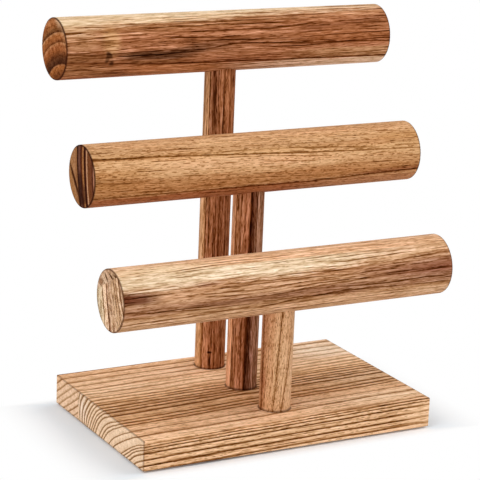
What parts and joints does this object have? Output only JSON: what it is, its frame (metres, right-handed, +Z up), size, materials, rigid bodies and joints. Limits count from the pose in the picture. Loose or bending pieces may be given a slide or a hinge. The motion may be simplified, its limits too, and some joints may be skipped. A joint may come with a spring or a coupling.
{
  "type": "bracelet display stand",
  "caption": "Free-standing wooden display stand: round bars on round posts step up from the front to the back of a thick base, for hanging bracelets, bangles and watches.",
  "frame": {"origin": "on the surface that the stand rests on, under the middle of the base", "axes": "+X along the bars to the right, +Y to the back, where the highest bar stands, +Z up"},
  "size_m": [0.3, 0.17, 0.3345],
  "materials": {
    "base_wood": "satin oil on light tan, ring-porous hardwood",
    "bar_wood": "satin oil on red-brown, ring-porous hardwood",
    "post_wood": "satin oil on red-brown, ring-porous hardwood",
    "pad_rubber": "matt black rubber",
    "bolt_steel": "bright zinc plate",
    "insert_brass": "plain turned brass"
  },
  "bodies": {
    "base": {"base_front_stave": "base_wood", "base_rear_stave": "base_wood", "pad_front_left": "pad_rubber", "pad_front_right": "pad_rubber", "pad_rear_left": "pad_rubber", "pad_rear_right": "pad_rubber"},
    "upper_t_bar": {"upper_bar": "bar_wood", "upper_post": "post_wood", "upper_insert": "insert_brass", "upper_bolt": "bolt_steel", "upper_washer": "bolt_steel"},
    "middle_t_bar": {"middle_bar": "bar_wood", "middle_post": "post_wood", "middle_insert": "insert_brass", "middle_bolt": "bolt_steel", "middle_washer": "bolt_steel"},
    "lower_t_bar": {"lower_bar": "bar_wood", "lower_bar_strip": "bar_wood", "lower_post": "post_wood", "lower_insert": "insert_brass", "lower_bolt": "bolt_steel", "lower_washer": "bolt_steel"}
  },
  "joints": [
    {"name": "upper_swivel", "type": "hinge", "parent": "base", "child": "upper_t_bar", "pos_m": [0, 0.06, 0.0165], "axis": [0, 0, 1], "range_deg": [-90, 90]},
    {"name": "middle_swivel", "type": "hinge", "parent": "base", "child": "middle_t_bar", "pos_m": [0, 0.0025, 0.0165], "axis": [0, 0, 1], "range_deg": [-45, 45]},
    {"name": "lower_swivel", "type": "hinge", "parent": "base", "child": "lower_t_bar", "pos_m": [0, -0.055, 0.0165], "axis": [0, 0, 1], "range_deg": [-45, 45]}
  ]
}
